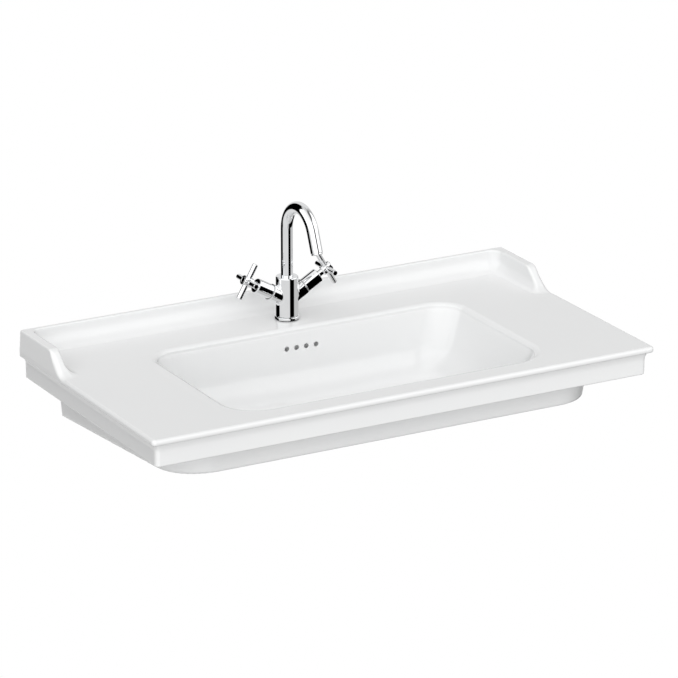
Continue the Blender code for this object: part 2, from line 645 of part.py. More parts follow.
def make_spout(pivot):
    bend_steps = 14
    spout = curve_solid("spout", spout_line(SPOUT_FOOT_Z, SPOUT_LEG, bend_steps), SPOUT_R, 6, CHROME, pivot)
    bore = curve_solid("spout_bore", spout_line(SPOUT_FOOT_Z - 0.005, SPOUT_LEG + 0.005, bend_steps),
                       SPOUT_BORE_R, 6, None, pivot, group=cutters)
    cut(spout, bore)
    top = SPOUT_FOOT_Z - GAP
    groove_r, tail_bore_r = 0.0097, 0.0082
    tail = [(SPOUT_R, top), (SPOUT_R, top - 0.0012), (groove_r, top - 0.0012), (groove_r, top - 0.0032),
            (SPOUT_R, top - 0.0032), (SPOUT_R, top - 0.0052), (groove_r, top - 0.0052), (groove_r, top - 0.0072),
            (SPOUT_R, top - 0.0072), (SPOUT_R, top - 0.0090), (tail_bore_r, top - 0.0090), (tail_bore_r, top)]
    turned("spout_tail", tail, BRASS, pivot, steps=FINE, ring=True)
    for index, depth in enumerate((0.0022, 0.0062)):
        o_ring(f"spout_o_ring_{index + 1}", 0.01040, 0.00060, top - depth, RUBBER, pivot)
    end = Vector(spout_line(SPOUT_FOOT_Z, SPOUT_LEG, bend_steps)[-1])
    outlet = empty("spout_outlet", end, (-SPOUT_TILT, 0, 0))
    outlet.parent = pivot
    housing = [(0.0078, 0.0080), (SPOUT_BORE_R - 2 * GAP, 0.0080), (SPOUT_BORE_R - 2 * GAP, -GAP), (0.0102, -GAP),
               (0.0102, -0.0024), (0.0096, -0.0030), (0.0078, -0.0030)]
    turned("aerator_housing", housing, CHROME, outlet, steps=FINE, ring=True)
    tube("aerator_seal", 0.0060, 0.0088, 0.0080 + GAP, 0.0096, RUBBER, outlet, steps=MEDIUM)
    rod("aerator_insert", 0.0078 - GAP, -0.0012, 0.0068, PLASTIC, outlet, steps=MEDIUM)


# ---------------------------------------------------------------- click waste
def make_waste():
    centre = (0, DRAIN_Y, 0)
    seat = DRAIN_Z + GAP
    tube("waste_top_seal", 0.0232, 0.0300, seat, seat + 0.0010, RUBBER, location=centre, steps=FINE)
    flange = seat + 0.0010 + GAP
    tail = -0.1730
    outer_r, inner_r = 0.0208, 0.0183
    profile = [(0.0278, flange + 0.0030), (0.0305, flange + 0.0026), (0.0320, flange + 0.0010), (0.0320, flange),
               (outer_r, flange), (outer_r, tail), (inner_r, tail), (inner_r, flange + 0.0010),
               (0.0250, flange + 0.0012)]
    body = turned("waste_body", profile, CHROME, location=centre, steps=FINE, ring=True)
    bridge_top = -0.1560
    bridge = box("waste_bridge", (-0.0192, DRAIN_Y - 0.0040, bridge_top - 0.0030),
                 (0.0192, DRAIN_Y + 0.0040, bridge_top), None, cutters)
    join(body, bridge)
    cut(body, box("waste_overflow_slot", (-0.0070, DRAIN_Y - 0.030, -0.1465),
                  (0.0070, DRAIN_Y + 0.030, -0.1370), None, cutters))
    under = DRAIN_BOSS_Z - GAP
    tube("waste_lower_seal", outer_r + GAP, 0.0310, under - 0.0040, under, RUBBER, location=centre, steps=FINE)
    nut_top = under - 0.0040 - GAP
    hex_nut("waste_backnut", 0.0560, outer_r + GAP, nut_top - 0.0085, nut_top, BRASS, (0, DRAIN_Y), FINE)
    make_clicker(centre, bridge_top)
    make_plug(centre, flange)


def make_clicker(centre, bridge_top):
    low = bridge_top + GAP
    tube("waste_clicker", 0.0046, 0.0075, low, -0.1340, PLASTIC, location=centre, steps=MEDIUM, edge=0.0006)
    turns, per_turn, wire, radius = 6, 8, 0.00035, 0.0035
    start, end = low + wire + GAP, -0.1432 - wire - GAP
    count = turns * per_turn
    helix = [(radius * cos(2 * pi * i / per_turn), radius * sin(2 * pi * i / per_turn),
              start + (end - start) * i / count) for i in range(count + 1)]
    curve_solid("waste_spring", helix, wire, 1, STEEL, location=centre)


def make_plug(centre, flange):
    slider = empty("plug_axis", centre)
    under = flange + PLUG_LIFT
    cap = [(0, under + 0.0052), (0.0100, under + 0.0050), (0.0190, under + 0.0040),
           (PLUG_R - 0.0015, under + 0.0024), (PLUG_R, under + 0.0012), (PLUG_R - 0.0010, under), (0, under)]
    turned("waste_plug", cap, CHROME, slider, steps=FINE)
    tube("waste_plug_seal", 0.0100, 0.0225, under - 0.0012 - GAP, under - GAP, RUBBER, slider, steps=FINE)
    stem_top = under - GAP
    rod("waste_plug_stem", 0.0040, -0.1432, stem_top, STEEL, slider, steps=COARSE, edge=0.0004)


# ---------------------------------------------------------------- assembly
make_basin()
left, right = valve_axis("left", -1), valve_axis("right", 1)
make_tap_body((left, right))
make_tap_fixing()
for axis in (left, right):
    make_valve(axis.name, axis)
    make_handle(axis.name, axis)
make_spout(empty("spout_axis", (0, TAP_Y, 0)))
make_waste()
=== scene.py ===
"""Wall-hung ceramic washbasin with a two-handle swan-neck mixer and a click waste: the finished look.

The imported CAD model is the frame.  Its hidden fittings are shown as they are, with their own
finishes, and everything that the eye meets is rebuilt here as a finer surface that rides on the
same bodies.  Shapes are worked out in millimetres in the frame's axes, and made in metres.
"""
import json
from math import cos, pi, radians, sin, tan

import bpy
import numpy as np
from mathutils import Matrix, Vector


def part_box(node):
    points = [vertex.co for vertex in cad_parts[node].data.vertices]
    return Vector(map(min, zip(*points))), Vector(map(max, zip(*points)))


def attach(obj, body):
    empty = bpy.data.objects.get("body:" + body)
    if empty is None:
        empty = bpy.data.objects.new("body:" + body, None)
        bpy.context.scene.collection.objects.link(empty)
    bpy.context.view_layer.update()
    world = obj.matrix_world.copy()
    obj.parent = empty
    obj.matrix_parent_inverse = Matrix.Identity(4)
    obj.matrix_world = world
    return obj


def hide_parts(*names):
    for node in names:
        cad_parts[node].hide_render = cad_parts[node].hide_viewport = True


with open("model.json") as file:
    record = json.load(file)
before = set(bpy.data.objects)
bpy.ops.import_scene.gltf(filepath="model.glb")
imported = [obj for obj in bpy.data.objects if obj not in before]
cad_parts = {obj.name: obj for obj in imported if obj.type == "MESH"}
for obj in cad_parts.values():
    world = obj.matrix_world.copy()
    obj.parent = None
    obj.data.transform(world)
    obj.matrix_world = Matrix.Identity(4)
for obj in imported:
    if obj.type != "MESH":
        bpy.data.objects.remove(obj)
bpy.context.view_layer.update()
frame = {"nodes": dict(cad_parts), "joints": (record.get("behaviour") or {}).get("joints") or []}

MM = 0.001


def low(node):
    """Lowest corner of a CAD node, in millimetres."""
    return np.array(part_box(node)[0]) / MM


def high(node):
    return np.array(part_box(node)[1]) / MM


def joint(name):
    return next(entry for entry in frame["joints"] if entry["name"] == name)


# ------------------------------------------------------------------ sizes, in millimetres
HALF = high("basin")[0]                 # half the basin's width
DEPTH = -low("basin")[1]
TOP = high("basin")[2]                  # top of the upstand

LIP, LIP_R = 12.0, 5.6                  # height of the deck's rounded lip, and its radius
LIP_INSET = 7.0                         # the apron starts this far in, under the lip
APRON_INSET, APRON_BOTTOM = 11.0, -54.0
APRON_COVE = 15.0                       # height of the apron's hollow top
APRON_LEAN = 0.01
PLAN_CORNER = 8.0
BACK_THICK, WING_THICK = 9.0, 20.0      # upstand along the wall, and its two side returns (the wings)
BACK_COVE, WING_COVE = 29.0, 18.0
INNER_CORNER = 19.0                     # plan radius where upstand and return meet
WING_LEAN = 0.07
WING_LENGTH, WING_SLOPE = 125.0, radians(40)
WING_EDGE_R, WING_END_R = 2.7, 10.0     # rounding of a wing's outer edge, and of its front corner

DECK, WALL, REAR_WALL = 14.0, 12.0, 14.0
TRAY_HALF, TRAY_FRONT = 477.0, 507.0
SKIRT_HALF, SKIRT_FRONT, SKIRT_CORNER = 428.0, 475.0, 80.0
SKIRT_DRAFT_SIDE, SKIRT_DRAFT_FRONT = 0.094, 0.140
SKIRT_FOOT_BACK, SKIRT_FOOT_FRONT = -139.5, -104.0
SKIRT_EDGE_R = 5.0

BOWL_HALF, BOWL_FRONT, BOWL_BACK, BOWL_FLOOR = 311.0, 480.0, 128.0, -121.0
BOWL_RIM_R = 9.0
LEAN_SIDE, LEAN_FRONT, LEAN_BACK = radians(19), radians(20), radians(4)
SWEEP_SIDE, SWEEP_FRONT, SWEEP_BACK = 54.0, 94.0, 49.0
CORNER_FRONT, CORNER_BACK = 62.0, 50.0

WASTE = (low("waste_body") + high("waste_body")) / 2
SEAT_Z = low("waste_top_seal")[2] - 0.3
SEAT_R, BORE_R, BOSS_R = 34.0, 23.0, 37.0
BOSS_Z = low("basin")[2]
OVERFLOW_Z, OVERFLOW_PITCH, OVERFLOW_R = -38.0, 20.0, 4.5
OVERFLOW_Y = (-150.0, -120.0)           # the holes run between these, through the bowl's back wall
CASE_HALF, CASE_Y, CASE_TOP = 48.0, (-140.0, -102.0), -9.0      # casting round the overflow duct
DUCT_HALF, DUCT_Y, DUCT_Z = 40.0, (-128.0, -110.0), (-144.0, -28.0)
RUN_CASE_HALF, RUN_CASE_BACK, RUN_CASE_TOP = 20.0, -119.0, -128.0
RUN_HALF, RUN_BACK, RUN_Z = 12.0, -116.0, (-143.5, -137.5)      # passage from the duct to the waste
RUN_FRONT = WASTE[1] + 8.0
WALL_HOLE_X, WALL_HOLE_Z, WALL_HOLE_R = 140.0, -85.0, 7.5
TAP_HOLE_R = 17.5

TAP = (low("tap_base_ring") + high("tap_base_ring")) / 2
COLUMN_R = (high("tap_gasket")[0] - low("tap_gasket")[0]) / 2 - 1.0
COLUMN_TOP, COLUMN_FOOT = high("tap_body")[2], low("tap_body")[2]


# ------------------------------------------------------------------ signed distance fields
def union(a, b, radius=0.0):
    """Either of two solids, with a fillet where they meet.  A field is negative inside its solid."""
    near = np.hypot(np.maximum(radius - a, 0), np.maximum(radius - b, 0))
    return np.maximum(radius, np.minimum(a, b)) - near


def common(a, b, radius=0.0):
    """What two solids share, with the edge between them rounded."""
    near = np.hypot(np.maximum(radius + a, 0), np.maximum(radius + b, 0))
    return np.minimum(-radius, np.maximum(a, b)) + near


def cut(a, b, radius=0.0):
    return common(a, -b, radius)


def between(value, start, end):
    """The slab from start to end."""
    return np.maximum(start - value, value - end)


def block(x, y, z, corner, other, radius):
    """A box between two corners, with its edges rounded."""
    sides = common(between(x, corner[0], other[0]), between(y, corner[1], other[1]), radius)
    return common(sides, between(z, corner[2], other[2]), radius)


def fade(value, start, end):
    """Smooth step from 0 at start to 1 at end."""
    share = np.clip((value - start) / (end - start), 0, 1)
    return share * share * (3 - 2 * share)


def lines(start, *spans):
    """Grid lines from start through spans of (end, spacing)."""
    runs = [np.array([start])]
    for end, pitch in spans:
        count = max(1, round(abs(end - start) / pitch))
        runs.append(np.linspace(start, end, count + 1)[1:])
        start = end
    return np.concatenate(runs)


def even(start, end, pitch):
    return lines(start, (end, pitch))


def slope_of(field, points, reach=0.02):
    """Value and gradient of a field at points."""
    steps = np.eye(3) * reach
    value = field(*points.T)
    gradient = np.stack([field(*(points + step).T) - field(*(points - step).T) for step in steps], axis=1)
    return value, gradient / (2 * reach)


def crossings(values, grids, axis):
    """Grid edges along one axis where the field changes sign: index of the start, and the point."""
    first = np.moveaxis(values, axis, 0)[:-1]
    second = np.moveaxis(values, axis, 0)[1:]
    found = np.nonzero((first < 0) != (second < 0))
    share = first[found] / (first[found] - second[found])
    outward = first[found] < 0
    order = [axis] + [k for k in range(3) if k != axis]
    index = np.empty((len(share), 3), int)
    for column, k in enumerate(order):
        index[:, k] = found[column]
    point = np.stack([grids[k][index[:, k]] for k in range(3)], axis=1)
    step = grids[axis][index[:, axis] + 1] - grids[axis][index[:, axis]]
    point[:, axis] += share * step
    return index, point, outward


def skin(field, grids):
    """Vertices and quads of a field's zero surface, one vertex in each grid cell that it crosses."""
    mesh = np.meshgrid(*[g.astype(np.float32) for g in grids], indexing="ij", sparse=True)
    values = np.broadcast_to(field(*mesh), [len(g) for g in grids])
    cells = np.array(values.shape) - 1
    total = int(np.prod(cells))
    sums = np.zeros((4, total))
    quads = []
    for axis in range(3):
        index, point, outward = crossings(values, grids, axis)
        u, v = (axis + 1) % 3, (axis + 2) % 3
        corners = []
        for du, dv in ((-1, -1), (0, -1), (0, 0), (-1, 0)):
            cell = index.copy()
            cell[:, u] += du
            cell[:, v] += dv
            corners.append(np.ravel_multi_index(cell.T, cells, mode="clip"))
        for flat in corners:
            for k in range(3):
                sums[k] += np.bincount(flat, point[:, k], total)
            sums[3] += np.bincount(flat, minlength=total)
        quad = np.stack(corners, axis=1)
        quads.append(np.where(outward[:, None], quad, quad[:, ::-1]))
    used = np.nonzero(sums[3])[0]
    number = np.zeros(total, int)
    number[used] = np.arange(len(used))
    points = (sums[:3, used] / sums[3, used]).T
    return points, number[np.concatenate(quads)]


def settle(field, points, reach):
    """Move points onto the field's zero surface."""
    start = points.copy()
    for _ in range(4):
        value, gradient = slope_of(field, points)
        size = np.maximum((gradient ** 2).sum(axis=1), 0.05)
        points = points - (value / size)[:, None] * gradient
    moved = np.linalg.norm(points - start, axis=1) > reach
    points[moved] = start[moved]
    return points


def sculpted(name, field, grids, material, reach=3.0):
    """A piece whose surface is a field's zero surface, with exact normals."""
    points, quads = skin(field, grids)
    points = settle(field, points, reach)
    mesh = bpy.data.meshes.new(name)
    mesh.from_pydata((points * MM).tolist(), [], quads.tolist())
    mesh.shade_smooth()
    _, normals = slope_of(field, points)
    normals /= np.maximum(np.linalg.norm(normals, axis=1), 1e-6)[:, None]
    mesh.normals_split_custom_set_from_vertices(normals.tolist())
    return piece(name, mesh, material)


# ------------------------------------------------------------------ pieces
def piece(name, mesh, material):
    obj = bpy.data.objects.new(name, mesh)
    bpy.context.scene.collection.objects.link(obj)
    mesh.materials.append(material)
    return obj


def belongs(obj, body, slot, *nodes):
    """Ties a piece to its body and hides the CAD nodes that it stands for; slot is not used."""
    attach(obj, body)
    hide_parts(*nodes)
    return obj


def rounded(outline, radius, steps=5):
    """A closed outline of (radius, height) points with its corners rounded.

    radius is one size for all corners, or a list with one for each.
    """
    sizes = radius if isinstance(radius, (list, tuple)) else [radius] * len(outline)
    soft = []
    count = len(outline)
    for i, size in enumerate(sizes):
        here = Vector(outline[i])
        back, ahead = Vector(outline[i - 1]) - here, Vector(outline[(i + 1) % count]) - here
        turn = pi - back.angle(ahead)
        if size <= 0 or turn < 0.02 or here.x < 1e-6:
            soft.append(tuple(here))
            continue
        run = min(size * tan(turn / 2), 0.48 * back.length, 0.48 * ahead.length)
        start, end = here + back.normalized() * run, here + ahead.normalized() * run
        for k in range(steps + 1):
            t = k / steps
            soft.append(tuple((1 - t) ** 2 * start + 2 * t * (1 - t) * here + t ** 2 * end))
    return soft


def straight(origin, direction):
    """A straight axis: gives the centre and two cross directions at a height along it."""
    along = Vector(direction).normalized()
    side = along.orthogonal().normalized()
    other = along.cross(side)
    start = Vector(origin)
    return lambda height: (start + along * height, side, other)


def turned(name, outline, axis, material, segments=96):
    """A closed outline of (radius, height) points carried round an axis, which may be curved."""
    rings = []
    points, faces = [], []
    for radius, height in outline:
        centre, side, other = axis(height)
        if radius < 1e-6:
            rings.append([len(points)] * segments)
            points.append(centre)
            continue
        rings.append(list(range(len(points), len(points) + segments)))
        for k in range(segments):
            angle = 2 * pi * k / segments
            points.append(centre + radius * (cos(angle) * side + sin(angle) * other))
    pairs = list(zip(rings, rings[1:] + rings[:1]))
    for one, two in pairs:
        for k in range(segments):
            j = (k + 1) % segments
            corners = [one[k], one[j], two[j], two[k]]
            corners = list(dict.fromkeys(corners))
            if len(corners) > 2:
                faces.append(corners)
    mesh = bpy.data.meshes.new(name)
    mesh.from_pydata([p * MM for p in points], [], faces)
    mesh.shade_smooth()
    mesh.set_sharp_from_angle(angle=radians(40))
    obj = piece(name, mesh, material)
    even_light = obj.modifiers.new("even_shading", "WEIGHTED_NORMAL")
    even_light.keep_sharp = True
    return obj


# ------------------------------------------------------------------ finishes
def finish(name, colour, shade, roughness, metallic=0.0, grain=8.0, bump=0.0, bump_grain=60.0,
           stretch=(1, 1, 1), **shader_values):
    """A procedural finish: its colour drifts between two shades, and its roughness and relief vary.

    colour and shade are the two ends of the drift, roughness is (least, most), and stretch scales
    the pattern along X, Y and Z.
    """
    material = bpy.data.materials.new(name)
    material.use_nodes = True
    nodes, links = material.node_tree.nodes, material.node_tree.links
    shader = nodes["Principled BSDF"]
    shader.inputs["Metallic"].default_value = metallic
    for socket, value in shader_values.items():
        shader.inputs[socket.replace("_", " ")].default_value = value

    place = nodes.new("ShaderNodeTexCoord")
    spread = nodes.new("ShaderNodeMapping")
    spread.inputs["Scale"].default_value = stretch
    links.new(place.outputs["Object"], spread.inputs["Vector"])

    drift = nodes.new("ShaderNodeTexNoise")
    drift.inputs["Scale"].default_value = grain
    drift.inputs["Detail"].default_value = 4.0
    links.new(spread.outputs["Vector"], drift.inputs["Vector"])

    tones = nodes.new("ShaderNodeValToRGB")
    tones.color_ramp.elements[0].position = 0.30
    tones.color_ramp.elements[0].color = (*shade, 1)
    tones.color_ramp.elements[1].position = 0.70
    tones.color_ramp.elements[1].color = (*colour, 1)
    links.new(drift.outputs["Fac"], tones.inputs["Fac"])
    links.new(tones.outputs["Color"], shader.inputs["Base Color"])

    polish = nodes.new("ShaderNodeMapRange")
    polish.inputs["From Min"].default_value = 0.3
    polish.inputs["From Max"].default_value = 0.7
    polish.inputs["To Min"].default_value = roughness[0]
    polish.inputs["To Max"].default_value = roughness[1]
    links.new(drift.outputs["Fac"], polish.inputs["Value"])
    links.new(polish.outputs["Result"], shader.inputs["Roughness"])

    if bump:
        relief = nodes.new("ShaderNodeTexNoise")
        relief.inputs["Scale"].default_value = bump_grain
        relief.inputs["Detail"].default_value = 2.0
        links.new(spread.outputs["Vector"], relief.inputs["Vector"])
        ripple = nodes.new("ShaderNodeBump")
        ripple.inputs["Strength"].default_value = 1.0
        ripple.inputs["Distance"].default_value = bump
        links.new(relief.outputs["Fac"], ripple.inputs["Height"])
        links.new(ripple.outputs["Normal"], shader.inputs["Normal"])
    return material


CERAMIC = finish("white_glaze", (0.925, 0.930, 0.930), (0.912, 0.918, 0.920), (0.10, 0.14),
                 grain=5.0, bump=0.00002, bump_grain=45.0, Specular_IOR_Level=0.45)
CHROME = finish("polished_chrome", (0.90, 0.905, 0.91), (0.86, 0.87, 0.88), (0.015, 0.03), 1.0,
                grain=30.0, bump=0.000002, bump_grain=120.0)
BRASS = finish("turned_brass", (0.74, 0.56, 0.28), (0.62, 0.44, 0.19), (0.20, 0.38), 1.0,
               grain=40.0, stretch=(1, 1, 12), bump=0.00002, bump_grain=300.0)
STEEL = finish("bright_steel", (0.66, 0.66, 0.65), (0.50, 0.50, 0.50), (0.22, 0.40), 1.0,
               grain=60.0, stretch=(1, 1, 8), bump=0.00002, bump_grain=300.0)
RUBBER = finish("black_rubber", (0.035, 0.035, 0.036), (0.018, 0.018, 0.018), (0.50, 0.70),
                grain=80.0, bump=0.00005, bump_grain=500.0)
PLASTIC = finish("grey_acetal", (0.38, 0.39, 0.41), (0.32, 0.33, 0.35), (0.35, 0.50),
                 grain=50.0, bump=0.00003, bump_grain=250.0)
ALUMINA = finish("ground_alumina", (0.90, 0.88, 0.84), (0.82, 0.80, 0.76), (0.12, 0.25),
                 grain=90.0, bump=0.00001, bump_grain=400.0)


# ------------------------------------------------------------------ the basin
def bowl(x, y, z):
    """The hollow of the bowl: four leaning walls that sweep into a floor with a slight fall."""
    ax, out = np.abs(x), -y
    side = (ax - BOWL_HALF) * cos(LEAN_SIDE) - z * sin(LEAN_SIDE)
    front = (out - BOWL_FRONT) * cos(LEAN_FRONT) - z * sin(LEAN_FRONT)
    back = (BOWL_BACK - out) * cos(LEAN_BACK) - z * sin(LEAN_BACK)
    walls = common(common(side, front, CORNER_FRONT), back, CORNER_BACK)
    from_drain = np.hypot(x, y - WASTE[1])
    floor = BOWL_FLOOR - (BOWL_FLOOR - SEAT_Z - 1.0) * fade(from_drain, 180.0, SEAT_R) - z
    sweep = SWEEP_SIDE + (SWEEP_FRONT - SWEEP_SIDE) * fade(out, 250.0, 430.0)
    sweep = sweep + (SWEEP_BACK - SWEEP_SIDE) * fade(out, 220.0, 150.0)
    return common(walls, floor, sweep)


def deck_and_rim(x, y, z):
    """Deck, rounded lip, upstand with its two returns, and the apron under the lip."""
    ax, out = np.abs(x), -y
    edge = common(ax - HALF + WING_LEAN * np.maximum(z, 0), out - DEPTH, PLAN_CORNER)
    from_back, from_side = out - BACK_THICK, HALF - ax - WING_THICK
    upright = union(from_back, from_side, INNER_CORNER)
    cove = WING_COVE + (BACK_COVE - WING_COVE) * np.clip((from_side - from_back) / 80 + 0.5, 0, 1)
    upstand = common(union(z, upright, cove), z - TOP, 3.0)
    wing_end = (out - WING_LENGTH) * sin(WING_SLOPE) + (z - TOP + 1) * cos(WING_SLOPE)
    upstand = common(upstand, wing_end, 5.0)
    upper = union(z, upstand, 8.0 * np.clip(1 - upright / cove, 0, 1))
    along_wing = fade(y, -175.0, -140.0)
    edge_r = LIP_R + (WING_END_R - LIP_R) * fade(y, -190.0, -165.0)
    edge_r = edge_r + (WING_EDGE_R - WING_END_R) * fade(y, -140.0, -115.0)
    slab = common(edge, upper, edge_r)
    slab = common(slab, -LIP - z, LIP_R + (3.0 - LIP_R) * along_wing)
    hollow = np.clip((z + LIP + APRON_COVE) / APRON_COVE, 0, 1.4)
    inset = APRON_INSET - (APRON_INSET - LIP_INSET) * hollow ** 2 - APRON_LEAN * (z + LIP)
    slant = np.hypot(1, 2 * (APRON_INSET - LIP_INSET) * hollow / APRON_COVE)
    apron = common(ax - HALF + inset, out - DEPTH + inset, PLAN_CORNER) / slant
    apron = common(apron, APRON_BOTTOM - z, 3.0)
    return union(slab, np.maximum(apron, z + 9.5), 0.8)


def skirt(x, y, z):
    """The tapered shell under the deck, open below, whose foot rises towards the front."""
    ax, out = np.abs(x), -y
    fall = APRON_BOTTOM - z
    half = SKIRT_HALF - SKIRT_DRAFT_SIDE * fall
    front = SKIRT_FRONT - SKIRT_DRAFT_FRONT * fall
    foot = SKIRT_FOOT_BACK + (SKIRT_FOOT_FRONT - SKIRT_FOOT_BACK) * out / SKIRT_FRONT
    outer = common(common(ax - half, out - front, SKIRT_CORNER), foot - z, SKIRT_EDGE_R)
    inner = common(ax - half + WALL, out - front + WALL, SKIRT_CORNER - WALL)
    inner = common(inner, REAR_WALL - out, 10.0)
    return np.maximum(cut(outer, inner, 3.0), z + 8)


def basin(x, y, z):
    ax = np.abs(x)
    from_drain = np.hypot(x, y - WASTE[1])
    hollow = bowl(x, y, z)
    tray = common(common(ax - TRAY_HALF, -y - TRAY_FRONT, 8.0), REAR_WALL + y, 8.0)
    tray = common(tray, z + DECK, 5.0)
    body = cut(deck_and_rim(x, y, z), tray, 2.0)
    body = union(body, skirt(x, y, z), 6.0)
    body = union(body, np.maximum(hollow - WALL, z + 8), 6.0)
    body = union(body, common(from_drain - BOSS_R, between(z, BOSS_Z, SEAT_Z), 2.0), 5.0)
    case = block(x, y, z, (-CASE_HALF, CASE_Y[0], BOSS_Z + 0.5), (CASE_HALF, CASE_Y[1], CASE_TOP), 4.0)
    run_case = block(x, y, z, (-RUN_CASE_HALF, RUN_FRONT, BOSS_Z + 2),
                     (RUN_CASE_HALF, RUN_CASE_BACK, RUN_CASE_TOP), 3.0)
    body = union(body, union(case, run_case, 4.0), 5.0)
    body = common(body, y, 1.5)
    body = cut(body, hollow, BOWL_RIM_R)
    body = cut(body, common(from_drain - SEAT_R, SEAT_Z - z, 0.5), 0.8)
    body = cut(body, from_drain - BORE_R, 0.8)
    duct = block(x, y, z, (-DUCT_HALF, DUCT_Y[0], DUCT_Z[0]), (DUCT_HALF, DUCT_Y[1], DUCT_Z[1]), 2.0)
    run = block(x, y, z, (-RUN_HALF, RUN_FRONT, RUN_Z[0]), (RUN_HALF, RUN_BACK, RUN_Z[1]), 1.0)
    body = cut(body, np.minimum(duct, run), 1.0)
    beside = np.abs(ax - OVERFLOW_PITCH) - OVERFLOW_PITCH / 2
    hole = np.maximum(np.hypot(beside, z - OVERFLOW_Z) - OVERFLOW_R, between(y, *OVERFLOW_Y))
    body = cut(body, hole, 1.2)
    tap_hole = np.maximum(np.hypot(x, y - TAP[1]) - TAP_HOLE_R, -30 - z)
    wall_hole = np.maximum(np.hypot(ax - WALL_HOLE_X, z - WALL_HOLE_Z) - WALL_HOLE_R, -20 - y)
    return cut(cut(body, tap_hole, 0.8), wall_hole, 1.0)


def basin_grids():
    """Grid lines along X, Y and Z, closer together where the basin's surface turns sharply."""
    half = lines(0.6, (40.3, 1.7), (200.3, 8.0), (322.3, 3.3), (350.3, 6.0), (437.3, 6.5), (471.3, 4.5),
                 (503.7, 2.0))
    along = np.concatenate([-half[::-1], half])
    out = lines(-533.7, (-514.3, 1.7), (-492.3, 4.5), (-466.3, 2.6), (-380.3, 4.5), (-185.3, 8.0),
                (-140.3, 3.6), (-118.3, 2.3), (-56.3, 5.0), (3.7, 2.1))
    up = lines(-154.3, (-101.3, 3.8), (-57.3, 5.0), (-44.3, 2.6), (-32.3, 1.5), (-15.3, 2.4), (2.3, 1.35),
               (9.3, 2.0), (33.3, 3.0), (41.7, 1.6))
    return along, out, up


ceramic = sculpted("glazed_basin", basin, basin_grids(), CERAMIC)
belongs(ceramic, "basin_assembly", "ceramic", "basin")
ceramic.visible_glossy = False


# ------------------------------------------------------------------ the mixer
ARM_R, ARM_END = 15.0, 39.3             # distances along an arm start at the column's axis
JOINT_RING = (39.6, 40.5)
BONNET_R, BONNET = 13.7, (40.8, 73.6)
HUB_R, HUB_HALF, NECK_R, CAP_R = 9.2, 10.0, 5.8, 5.2
BAR_R, BAR = 5.0, (6.0, 34.5)           # distances along a bar start at the hub's axis
HUB_BORE_END, CAP_SOCKET = 82.0, 3.0     # end of the spindle's hole, and depth of the cap's
SPINDLE_R, VALVE_R, GAP = 3.7, 8.7, 0.3
VALVE_SEAT, ARM_BORE_R = 22.0, 5.0
BONNET_BORE_R, BONNET_NECK_R, BONNET_SHELF = 10.0, 4.6, 70.5
INLET_X, INLET_Y, INLET_R, INLET_TOP = 12.5, TAP[1] + 4.0, 4.5, 33.0
STUD_Y = (low("tap_stud") + high("tap_stud"))[1] / 2
STUD_HOLE_R, STUD_HOLE_TOP = 4.3, 22.0
BASE_BORE_R = 16.5
SPOUT_R, SPOUT_BORE_R, SPOUT_BEND_R = 11.0, 9.3, 51.3
SPOUT_FOOT, SPOUT_SOCKET_Z = low("spout")[2], 38.0
SPOUT_BEND_Z = high("spout")[2] - SPOUT_R - SPOUT_BEND_R
SPOUT_TILT, SPOUT_LEG = radians(22.6), 38.4
OUTLET_BORE_R, OUTLET_R, OUTLET_LIP_R = 7.8, 8.7, 10.2
OUTLET_LIP, OUTLET_DEPTH = 3.0, 8.0
SIDES = {"left": -1, "right": 1}


def hinge(side):
    entry = joint(side + "_handle_turn")
    return Vector(entry["pos_m"]) / MM, Vector(entry["axis"]).normalized()


HUB_AT = hinge("right")[0].x / hinge("right")[1].x
ARM_START = hinge("right")[0] - hinge("right")[1] * HUB_AT


def arm_axis(side):
    return straight(ARM_START, hinge(side)[1])


def along_arm(side, x, y, z):
    """Distance along an arm's axis, and the offsets across it: up the handle, and level."""
    axis = hinge(side)[1]
    along = x * axis.x + (z - ARM_START.z) * axis.z
    across = x * axis.z - (z - ARM_START.z) * axis.x
    return along, across, y - TAP[1]


def tap_body(x, y, z):
    """Column with its two arms, bored for the spout, the valves, the inlets and the stud."""
    radial = np.hypot(x, y - TAP[1])
    body = common(common(radial - COLUMN_R, z - COLUMN_TOP, 2.6), COLUMN_FOOT - z, 0.5)
    for side in SIDES:
        along, across, level = along_arm(side, x, y, z)
        away = np.hypot(across, level)
        body = union(body, common(away - ARM_R, between(along, 0, ARM_END), 0.9), 2.2)
    body = cut(body, np.maximum(radial - SPOUT_R - GAP, SPOUT_SOCKET_Z - z), 0.5)
    for side in SIDES:
        along, across, level = along_arm(side, x, y, z)
        away = np.hypot(across, level)
        seat = np.maximum(away - VALVE_R - GAP, VALVE_SEAT - along)
        body = cut(body, np.minimum(seat, np.maximum(away - ARM_BORE_R, -along)), 0.5)
    inlet = np.maximum(np.hypot(np.abs(x) - INLET_X, y - INLET_Y) - INLET_R, z - INLET_TOP)
    stud = np.maximum(np.hypot(x, y - STUD_Y) - STUD_HOLE_R, z - STUD_HOLE_TOP)
    return cut(body, np.minimum(inlet, stud), 0.4)


